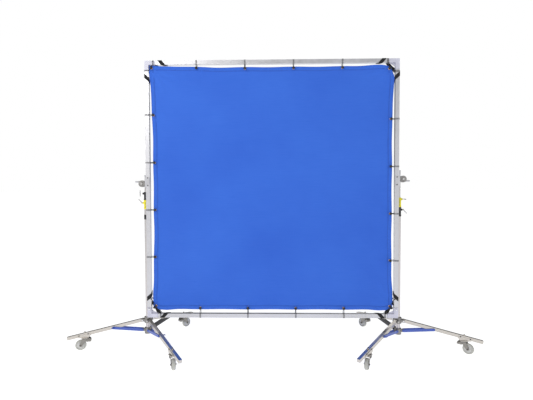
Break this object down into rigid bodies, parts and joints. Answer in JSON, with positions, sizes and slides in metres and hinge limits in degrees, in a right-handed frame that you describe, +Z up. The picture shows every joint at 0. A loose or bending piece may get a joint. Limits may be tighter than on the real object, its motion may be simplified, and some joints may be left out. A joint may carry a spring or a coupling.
{
  "type": "background support frame",
  "caption": "Square tube frame with a tied blue backdrop, tilting between two wheeled roller stands with folding bases and telescopic risers.",
  "frame": {"origin": "on the floor, under the middle of the footprint of the two stands", "axes": "+X along the frame to the right as seen from the fabric side, +Y from the fabric side to the back, +Z up"},
  "size_m": [3.9701, 1.3441, 2.7737],
  "materials": {
    "tube_steel": "satin",
    "leg_steel": "satin",
    "cast_grey": "satin",
    "handle_steel": "satin",
    "collar_yellow": "satin",
    "collar_black": "satin",
    "band_black": "matte",
    "brace_blue": "satin",
    "brace_black": "satin",
    "caster_steel": "satin",
    "wheel_grey": "satin",
    "rail": "satin",
    "corner": "satin",
    "ear_grey": "satin",
    "fabric_blue": "matte",
    "brass": "satin",
    "cord_black": "matte",
    "webbing_black": "matte"
  },
  "bodies": {
    "bases": {"left_column": "tube_steel", "right_column": "tube_steel", "upper_hubs": "cast_grey", "lower_hubs": "cast_grey", "hub_bolts": "handle_steel", "left_base_collar": "collar_yellow", "right_base_collar": "collar_black", "left_band": "band_black"},
    "left_leg_outer": {"left_leg_outer": "leg_steel"},
    "left_brace_outer": {"left_brace_outer": "brace_blue"},
    "left_fork_outer": {"left_fork_outer": "caster_steel"},
    "left_wheel_outer": {"left_wheel_outer": "wheel_grey"},
    "left_pedal_outer": {"left_pedal_outer": "caster_steel"},
    "left_leg_front": {"left_leg_front": "leg_steel"},
    "left_brace_front": {"left_brace_front": "brace_blue"},
    "left_fork_front": {"left_fork_front": "caster_steel"},
    "left_wheel_front": {"left_wheel_front": "wheel_grey"},
    "left_pedal_front": {"left_pedal_front": "caster_steel"},
    "left_leg_rear": {"left_leg_rear": "leg_steel"},
    "left_brace_rear": {"left_brace_rear": "brace_black"},
    "left_fork_rear": {"left_fork_rear": "caster_steel"},
    "left_wheel_rear": {"left_wheel_rear": "wheel_grey"},
    "left_pedal_rear": {"left_pedal_rear": "caster_steel"},
    "left_riser_lower": {"left_riser_lower": "tube_steel", "left_upper_collar": "collar_black"},
    "left_riser_upper": {"left_riser_upper": "tube_steel", "left_grip_head": "cast_grey"},
    "left_base_lever": {"left_base_lever": "handle_steel"},
    "left_upper_handle": {"left_upper_handle": "handle_steel"},
    "left_head_handle": {"left_head_handle": "handle_steel"},
    "right_leg_outer": {"right_leg_outer": "leg_steel"},
    "right_brace_outer": {"right_brace_outer": "brace_blue"},
    "right_fork_outer": {"right_fork_outer": "caster_steel"},
    "right_wheel_outer": {"right_wheel_outer": "wheel_grey"},
    "right_pedal_outer": {"right_pedal_outer": "caster_steel"},
    "right_leg_front": {"right_leg_front": "leg_steel"},
    "right_brace_front": {"right_brace_front": "brace_blue"},
    "right_fork_front": {"right_fork_front": "caster_steel"},
    "right_wheel_front": {"right_wheel_front": "wheel_grey"},
    "right_pedal_front": {"right_pedal_front": "caster_steel"},
    "right_leg_rear": {"right_leg_rear": "leg_steel"},
    "right_brace_rear": {"right_brace_rear": "brace_black"},
    "right_fork_rear": {"right_fork_rear": "caster_steel"},
    "right_wheel_rear": {"right_wheel_rear": "wheel_grey"},
    "right_pedal_rear": {"right_pedal_rear": "caster_steel"},
    "right_riser_lower": {"right_riser_lower": "tube_steel", "right_upper_collar": "collar_yellow"},
    "right_riser_upper": {"right_riser_upper": "tube_steel", "right_grip_head": "cast_grey"},
    "right_base_lever": {"right_base_lever": "handle_steel"},
    "right_upper_handle": {"right_upper_handle": "handle_steel"},
    "right_head_handle": {"right_head_handle": "handle_steel"},
    "frame": {"horizontal_rails": "rail", "vertical_rails": "rail", "frame_corners": "corner", "frame_ears": "ear_grey", "screen": "fabric_blue", "grommets": "brass", "bungee_ties": "cord_black", "corner_straps": "webbing_black"}
  },
  "joints": [
    {"name": "left_leg_outer_fold", "type": "hinge", "parent": "bases", "child": "left_leg_outer", "pos_m": [-1.27857, -0.06153, 0.271], "axis": [0.1305, -0.9914, 0], "range_deg": [0, 60]},
    {"name": "left_brace_outer_fold", "type": "hinge", "parent": "left_leg_outer", "child": "left_brace_outer", "pos_m": [-1.55154, -0.09746, 0.20535], "axis": [0.1305, -0.9914, 0], "range_deg": [-127.05, 0]},
    {"name": "left_fork_outer_swivel", "type": "hinge", "parent": "left_leg_outer", "child": "left_fork_outer", "pos_m": [-1.82089, -0.13292, 0.11], "axis": [0, 0, 1], "continuous": true},
    {"name": "left_wheel_outer_spin", "type": "hinge", "parent": "left_fork_outer", "child": "left_wheel_outer", "pos_m": [-1.85766, -0.14594, 0.05], "axis": [0.3338, -0.9426, 0], "continuous": true},
    {"name": "left_pedal_outer_press", "type": "hinge", "parent": "left_fork_outer", "child": "left_pedal_outer", "pos_m": [-1.80675, -0.12792, 0.092], "axis": [-0.3338, 0.9426, 0], "range_deg": [0, 15]},
    {"name": "left_leg_front_fold", "type": "hinge", "parent": "bases", "child": "left_leg_front", "pos_m": [-1.19856, -0.09467, 0.271], "axis": [0.7934, 0.6088, 0], "range_deg": [0, 60]},
    {"name": "left_brace_front_fold", "type": "hinge", "parent": "left_leg_front", "child": "left_brace_front", "pos_m": [-1.03095, -0.3131, 0.20535], "axis": [0.7934, 0.6088, 0], "range_deg": [-127.05, 0]},
    {"name": "left_fork_front_swivel", "type": "hinge", "parent": "left_leg_front", "child": "left_fork_front", "pos_m": [-0.86557, -0.52863, 0.11], "axis": [0, 0, 1], "continuous": true},
    {"name": "left_wheel_front_spin", "type": "hinge", "parent": "left_fork_front", "child": "left_wheel_front", "pos_m": [-0.85002, -0.5644, 0.05], "axis": [0.9171, 0.3987, 0], "continuous": true},
    {"name": "left_pedal_front_press", "type": "hinge", "parent": "left_fork_front", "child": "left_pedal_front", "pos_m": [-0.87155, -0.51488, 0.092], "axis": [-0.9171, -0.3987, 0], "range_deg": [0, 15]},
    {"name": "left_leg_rear_fold", "type": "hinge", "parent": "bases", "child": "left_leg_rear", "pos_m": [-1.20987, -0.00881, 0.271], "axis": [-0.9239, 0.3827, 0], "range_deg": [0, 60]},
    {"name": "left_brace_rear_fold", "type": "hinge", "parent": "left_leg_rear", "child": "left_brace_rear", "pos_m": [-1.1045, 0.24556, 0.20535], "axis": [-0.9239, 0.3827, 0], "range_deg": [-127.05, 0]},
    {"name": "left_fork_rear_swivel", "type": "hinge", "parent": "left_leg_rear", "child": "left_fork_rear", "pos_m": [-1.00054, 0.49656, 0.11], "axis": [0, 0, 1], "continuous": true},
    {"name": "left_wheel_rear_spin", "type": "hinge", "parent": "left_fork_rear", "child": "left_wheel_rear", "pos_m": [-0.9768, 0.5275, 0.05], "axis": [-0.7934, 0.6088, 0], "continuous": true},
    {"name": "left_pedal_rear_press", "type": "hinge", "parent": "left_fork_rear", "child": "left_pedal_rear", "pos_m": [-1.00967, 0.48466, 0.092], "axis": [0.7934, -0.6088, 0], "range_deg": [0, 15]},
    {"name": "left_lower_riser_slide", "type": "slide", "parent": "bases", "child": "left_riser_lower", "axis": [0, 0, 1], "range_m": [0, 0.85]},
    {"name": "left_upper_riser_slide", "type": "slide", "parent": "left_riser_lower", "child": "left_riser_upper", "axis": [0, 0, 1], "range_m": [0, 0.8]},
    {"name": "left_base_lever_turn", "type": "hinge", "parent": "bases", "child": "left_base_lever", "pos_m": [-1.272, -0.055, 1.424], "axis": [-1, 0, 0], "range_deg": [0, 270]},
    {"name": "left_upper_handle_turn", "type": "hinge", "parent": "left_riser_lower", "child": "left_upper_handle", "pos_m": [-1.272, -0.055, 1.516], "axis": [-1, 0, 0], "range_deg": [0, 270]},
    {"name": "left_head_handle_turn", "type": "hinge", "parent": "left_riser_upper", "child": "left_head_handle", "pos_m": [-1.255, -0.055, 1.612], "axis": [0, 1, 0], "range_deg": [0, 180]},
    {"name": "right_leg_outer_fold", "type": "hinge", "parent": "bases", "child": "right_leg_outer", "pos_m": [1.27803, -0.0648, 0.271], "axis": [0.1959, 0.9806, 0], "range_deg": [0, 60]},
    {"name": "right_brace_outer_fold", "type": "hinge", "parent": "right_leg_outer", "child": "right_brace_outer", "pos_m": [1.54802, -0.11875, 0.20535], "axis": [0.1959, 0.9806, 0], "range_deg": [-127.05, 0]},
    {"name": "right_fork_outer_swivel", "type": "hinge", "parent": "right_leg_outer", "child": "right_fork_outer", "pos_m": [1.81443, -0.17198, 0.11], "axis": [0, 0, 1], "continuous": true},
    {"name": "right_wheel_outer_spin", "type": "hinge", "parent": "right_fork_outer", "child": "right_wheel_outer", "pos_m": [1.84281, -0.19873, 0.05], "axis": [0.6858, 0.7278, 0], "continuous": true},
    {"name": "right_pedal_outer_press", "type": "hinge", "parent": "right_fork_outer", "child": "right_pedal_outer", "pos_m": [1.80351, -0.16169, 0.092], "axis": [-0.6858, -0.7278, 0], "range_deg": [0, 15]},
    {"name": "right_leg_front_fold", "type": "hinge", "parent": "bases", "child": "right_leg_front", "pos_m": [1.196, -0.09256, 0.271], "axis": [0.7513, -0.66, 0], "range_deg": [0, 60]},
    {"name": "right_brace_front_fold", "type": "hinge", "parent": "right_leg_front", "child": "right_brace_front", "pos_m": [1.01429, -0.2994, 0.20535], "axis": [0.7513, -0.66, 0], "range_deg": [-127.05, 0]},
    {"name": "right_fork_front_swivel", "type": "hinge", "parent": "right_leg_front", "child": "right_fork_front", "pos_m": [0.83498, -0.5035, 0.11], "axis": [0, 0, 1], "continuous": true},
    {"name": "right_wheel_front_spin", "type": "hinge", "parent": "right_fork_front", "child": "right_wheel_front", "pos_m": [0.81831, -0.53876, 0.05], "axis": [0.9041, -0.4274, 0], "continuous": true},
    {"name": "right_pedal_front_press", "type": "hinge", "parent": "right_fork_front", "child": "right_pedal_front", "pos_m": [0.84139, -0.48994, 0.092], "axis": [-0.9041, 0.4274, 0], "range_deg": [0, 15]},
    {"name": "right_leg_rear_fold", "type": "hinge", "parent": "bases", "child": "right_leg_rear", "pos_m": [1.21297, -0.00764, 0.271], "axis": [-0.9472, -0.3206, 0], "range_deg": [0, 60]},
    {"name": "right_brace_rear_fold", "type": "hinge", "parent": "right_leg_rear", "child": "right_brace_rear", "pos_m": [1.1247, 0.25315, 0.20535], "axis": [-0.9472, -0.3206, 0], "range_deg": [-127.05, 0]},
    {"name": "right_fork_rear_swivel", "type": "hinge", "parent": "right_leg_rear", "child": "right_fork_rear", "pos_m": [1.03759, 0.51048, 0.11], "axis": [0, 0, 1], "continuous": true},
    {"name": "right_wheel_rear_spin", "type": "hinge", "parent": "right_fork_rear", "child": "right_wheel_rear", "pos_m": [1.01596, 0.54293, 0.05], "axis": [-0.832, -0.5548, 0], "continuous": true},
    {"name": "right_pedal_rear_press", "type": "hinge", "parent": "right_fork_rear", "child": "right_pedal_rear", "pos_m": [1.04592, 0.49801, 0.092], "axis": [0.832, 0.5548, 0], "range_deg": [0, 15]},
    {"name": "right_lower_riser_slide", "type": "slide", "parent": "bases", "child": "right_riser_lower", "axis": [0, 0, 1], "range_m": [0, 0.85]},
    {"name": "right_upper_riser_slide", "type": "slide", "parent": "right_riser_lower", "child": "right_riser_upper", "axis": [0, 0, 1], "range_m": [0, 0.8]},
    {"name": "right_base_lever_turn", "type": "hinge", "parent": "bases", "child": "right_base_lever", "pos_m": [1.272, -0.055, 1.352], "axis": [1, 0, 0], "range_deg": [0, 270]},
    {"name": "right_upper_handle_turn", "type": "hinge", "parent": "right_riser_lower", "child": "right_upper_handle", "pos_m": [1.272, -0.055, 1.453], "axis": [1, 0, 0], "range_deg": [0, 270]},
    {"name": "right_head_handle_turn", "type": "hinge", "parent": "right_riser_upper", "child": "right_head_handle", "pos_m": [1.255, -0.055, 1.648], "axis": [0, 1, 0], "range_deg": [0, 180]},
    {"name": "frame_tilt", "type": "hinge", "parent": "left_riser_upper", "child": "frame", "pos_m": [-1.229, -0.09, 1.63], "axis": [1, 0, 0], "range_deg": [-90, 90]}
  ],
  "couplings": [
    {"joint": "left_brace_outer_fold", "follows": "left_leg_outer_fold", "ratio": -2.1158},
    {"joint": "left_leg_front_fold", "follows": "left_leg_outer_fold", "ratio": 1},
    {"joint": "left_brace_front_fold", "follows": "left_leg_outer_fold", "ratio": -2.1158},
    {"joint": "left_leg_rear_fold", "follows": "left_leg_outer_fold", "ratio": 1},
    {"joint": "left_brace_rear_fold", "follows": "left_leg_outer_fold", "ratio": -2.1158},
    {"joint": "right_brace_outer_fold", "follows": "right_leg_outer_fold", "ratio": -2.1158},
    {"joint": "right_leg_front_fold", "follows": "right_leg_outer_fold", "ratio": 1},
    {"joint": "right_brace_front_fold", "follows": "right_leg_outer_fold", "ratio": -2.1158},
    {"joint": "right_leg_rear_fold", "follows": "right_leg_outer_fold", "ratio": 1},
    {"joint": "right_brace_rear_fold", "follows": "right_leg_outer_fold", "ratio": -2.1158},
    {"joint": "right_lower_riser_slide", "follows": "left_lower_riser_slide", "ratio": 1},
    {"joint": "right_upper_riser_slide", "follows": "left_upper_riser_slide", "ratio": 1}
  ]
}
